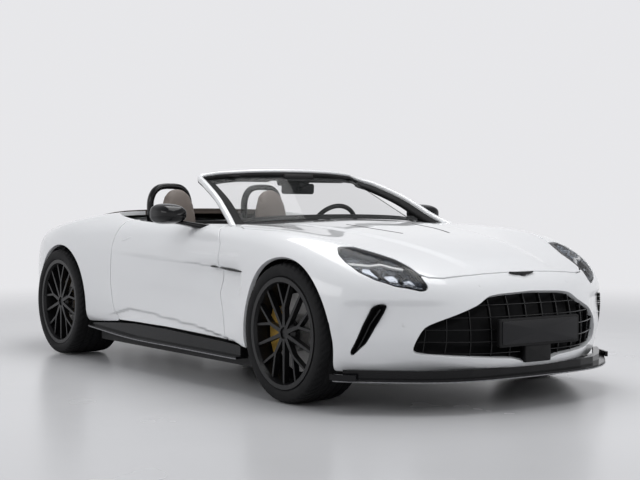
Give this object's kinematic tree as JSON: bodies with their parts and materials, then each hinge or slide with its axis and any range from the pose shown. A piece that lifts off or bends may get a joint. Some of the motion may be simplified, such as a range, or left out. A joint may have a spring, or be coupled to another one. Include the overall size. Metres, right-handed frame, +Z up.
{
  "type": "roadster convertible",
  "caption": "Low two-seat open sports car with long bonnet, wide grille, raked windscreen, roll hoops, hinged doors, bonnet and boot, steered front wheels.",
  "frame": {"origin": "on the ground under the middle of the car's bounding box", "axes": "+X towards the nose, +Y to the car's left, +Z up"},
  "size_m": [4.4852, 2.0978, 1.2393],
  "materials": {
    "caliper_bronze": "gloss",
    "cast_metal": "cast",
    "disc_iron": "machined",
    "exhaust_steel": "polished",
    "gloss_black": "gloss",
    "lamp_lens": "clear",
    "paint_structure": "satin",
    "paint_white": "gloss",
    "rim_black": "satin",
    "roof_fabric": "woven",
    "satin_black": "satin",
    "screen_glass": "clear",
    "seat_leather": "matte",
    "steel_arms": "satin",
    "tail_lens": "clear",
    "trim_leather": "matte",
    "tyre": "matte",
    "wheel_leather": "matte"
  },
  "bodies": {
    "shell": {"chassis_tub": "paint_structure", "front_structure": "paint_structure", "rear_structure": "paint_structure", "engine": "cast_metal", "front_suspension": "steel_arms", "rear_suspension": "cast_metal", "front_bumper": "paint_white", "grille": "gloss_black", "front_splitter": "gloss_black", "headlamps": "lamp_lens", "front_wings": "paint_white", "windscreen_frame": "paint_white", "windscreen": "screen_glass", "cowl": "satin_black", "rear_body": "paint_white", "rear_bumper": "paint_white", "rear_diffuser": "gloss_black", "exhaust_tips": "exhaust_steel", "tail_lamps": "tail_lens", "roof_cover": "roof_fabric", "roll_hoops": "gloss_black", "seats": "seat_leather", "dashboard": "trim_leather", "wheel_liners": "satin_black", "centre_console": "trim_leather", "side_skirts": "gloss_black", "rear_calipers": "caliper_bronze"},
    "bonnet": {"bonnet": "paint_white"},
    "boot_lid": {"boot_lid": "paint_white"},
    "door_left": {"door_left": "paint_white", "mirror_left": "gloss_black"},
    "door_right": {"door_right": "paint_white", "mirror_right": "gloss_black"},
    "steering_wheel": {"steering_wheel": "wheel_leather"},
    "hub_front_left": {"knuckle_front_left": "cast_metal", "caliper_front_left": "caliper_bronze"},
    "hub_front_right": {"knuckle_front_right": "cast_metal", "caliper_front_right": "caliper_bronze"},
    "wheel_front_left": {"tyre_front_left": "tyre", "rim_front_left": "rim_black", "disc_front_left": "disc_iron"},
    "wheel_front_right": {"tyre_front_right": "tyre", "rim_front_right": "rim_black", "disc_front_right": "disc_iron"},
    "wheel_rear_left": {"tyre_rear_left": "tyre", "rim_rear_left": "rim_black", "disc_rear_left": "disc_iron"},
    "wheel_rear_right": {"tyre_rear_right": "tyre", "rim_rear_right": "rim_black", "disc_rear_right": "disc_iron"}
  },
  "joints": [
    {"name": "steer_front_left", "type": "hinge", "parent": "shell", "child": "hub_front_left", "pos_m": [1.3995, 0.757, 0.356], "axis": [0, 0, 1], "range_deg": [-33, 33]},
    {"name": "spin_front_left", "type": "hinge", "parent": "hub_front_left", "child": "wheel_front_left", "pos_m": [1.3995, 0.823, 0.356], "axis": [0, 1, 0], "continuous": true},
    {"name": "steer_front_right", "type": "hinge", "parent": "shell", "child": "hub_front_right", "pos_m": [1.3995, -0.757, 0.356], "axis": [0, 0, 1], "range_deg": [-33, 33]},
    {"name": "spin_front_right", "type": "hinge", "parent": "hub_front_right", "child": "wheel_front_right", "pos_m": [1.3995, -0.823, 0.356], "axis": [0, 1, 0], "continuous": true},
    {"name": "spin_rear_left", "type": "hinge", "parent": "shell", "child": "wheel_rear_left", "pos_m": [-1.3055, 0.817, 0.356], "axis": [0, 1, 0], "continuous": true},
    {"name": "spin_rear_right", "type": "hinge", "parent": "shell", "child": "wheel_rear_right", "pos_m": [-1.3055, -0.817, 0.356], "axis": [0, 1, 0], "continuous": true},
    {"name": "steering_wheel", "type": "hinge", "parent": "shell", "child": "steering_wheel", "pos_m": [0.0145, 0.37, 0.84], "axis": [-0.9135, 0, 0.4067], "range_deg": [-430, 430]},
    {"name": "door_left", "type": "hinge", "parent": "shell", "child": "door_left", "pos_m": [0.7095, 0.918, 0.5], "axis": [0, 0, -1], "range_deg": [0, 62]},
    {"name": "door_right", "type": "hinge", "parent": "shell", "child": "door_right", "pos_m": [0.7095, -0.918, 0.5], "axis": [0, 0, 1], "range_deg": [0, 62]},
    {"name": "bonnet", "type": "hinge", "parent": "shell", "child": "bonnet", "pos_m": [2.1195, 0, 0.678], "axis": [0, 1, 0], "range_deg": [0, 50]},
    {"name": "boot_lid", "type": "hinge", "parent": "shell", "child": "boot_lid", "pos_m": [-1.5355, 0, 0.9575], "axis": [0, 1, 0], "range_deg": [0, 70]}
  ],
  "couplings": [
    {"joint": "steer_front_right", "follows": "steer_front_left", "ratio": 1},
    {"joint": "steering_wheel", "follows": "steer_front_left", "ratio": 13}
  ]
}
